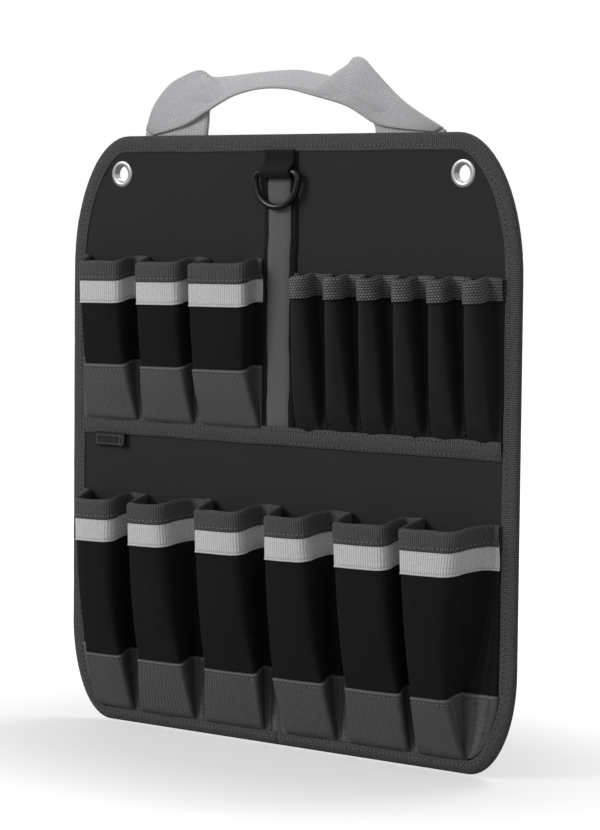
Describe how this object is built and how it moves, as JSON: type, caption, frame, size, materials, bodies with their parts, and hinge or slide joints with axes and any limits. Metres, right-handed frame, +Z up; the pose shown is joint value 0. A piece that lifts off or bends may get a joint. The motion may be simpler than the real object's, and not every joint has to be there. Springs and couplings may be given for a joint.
{
  "type": "hanging tool pouch panel",
  "caption": "Stiff cloth-covered hanging tool panel with rows of box-pleat pockets and slim sleeves, a D-ring, hanging eyelets and a webbing carry handle.",
  "frame": {"origin": "midway between the two hanging eyelets, on the plane of the panel's back", "axes": "+X across the panel to its right as seen from the front, -Y out of the front, where the pockets are, and +Z up towards the handle"},
  "size_m": [0.34, 0.0451, 0.416],
  "materials": {
    "cover_cloth": "tight coated weave, matt",
    "board_core": "plain sheet, hidden between the covers",
    "binding_tape": "ribbed polyester tape",
    "black_webbing": "tight woven webbing",
    "grey_stripe": "smooth woven tape",
    "pocket_cloth": "coarse ballistic weave",
    "patch_cloth": "dense heavy weave",
    "light_band": "pale woven tape",
    "cuff_webbing": "coarse open webbing",
    "handle_webbing": "pale grey ribbed webbing",
    "label_cloth": "plain woven label",
    "eyelet_metal": "bright nickel plating",
    "ring_metal": "black gloss lacquer"
  },
  "bodies": {
    "panel": {"back_cover": "cover_cloth", "centre_stripe": "grey_stripe", "centre_webbing": "black_webbing", "cross_tape": "binding_tape", "edge_binding": "binding_tape", "eyelet_left": "eyelet_metal", "eyelet_right": "eyelet_metal", "eyelet_washer_left": "eyelet_metal", "eyelet_washer_right": "eyelet_metal", "front_cover": "cover_cloth", "handle_tail_left": "handle_webbing", "handle_tail_right": "handle_webbing", "label_tag": "label_cloth", "lower_light_band_1": "light_band", "lower_light_band_2": "light_band", "lower_light_band_3": "light_band", "lower_light_band_4": "light_band", "lower_light_band_5": "light_band", "lower_light_band_6": "light_band", "lower_mouth_tape_1": "binding_tape", "lower_mouth_tape_2": "binding_tape", "lower_mouth_tape_3": "binding_tape", "lower_mouth_tape_4": "binding_tape", "lower_mouth_tape_5": "binding_tape", "lower_mouth_tape_6": "binding_tape", "lower_patch_1": "patch_cloth", "lower_patch_2": "patch_cloth", "lower_patch_3": "patch_cloth", "lower_patch_4": "patch_cloth", "lower_patch_5": "patch_cloth", "lower_patch_6": "patch_cloth", "lower_pocket_1": "pocket_cloth", "lower_pocket_2": "pocket_cloth", "lower_pocket_3": "pocket_cloth", "lower_pocket_4": "pocket_cloth", "lower_pocket_5": "pocket_cloth", "lower_pocket_6": "pocket_cloth", "ring_loop": "black_webbing", "sleeve_1": "pocket_cloth", "sleeve_2": "pocket_cloth", "sleeve_3": "pocket_cloth", "sleeve_4": "pocket_cloth", "sleeve_5": "pocket_cloth", "sleeve_6": "pocket_cloth", "sleeve_cuffs": "cuff_webbing", "stiffener_board": "board_core", "upper_light_band_1": "light_band", "upper_light_band_2": "light_band", "upper_light_band_3": "light_band", "upper_mouth_tape_1": "binding_tape", "upper_mouth_tape_2": "binding_tape", "upper_mouth_tape_3": "binding_tape", "upper_patch_1": "patch_cloth", "upper_patch_2": "patch_cloth", "upper_patch_3": "patch_cloth", "upper_pocket_1": "pocket_cloth", "upper_pocket_2": "pocket_cloth", "upper_pocket_3": "pocket_cloth"},
    "handle": {"carry_handle": "handle_webbing"},
    "ring": {"d_ring": "ring_metal"}
  },
  "joints": [
    {"name": "handle_fold", "type": "hinge", "parent": "panel", "child": "handle", "pos_m": [0, 0.0008, 0.0251], "axis": [1, 0, 0], "range_deg": [-80, 80], "stiffness_Nm_per_rad": 0.08},
    {"name": "ring_swing", "type": "hinge", "parent": "panel", "child": "ring", "pos_m": [-0.0023, -0.0093, 0.0009], "axis": [-1, 0, 0], "range_deg": [0, 170]}
  ]
}
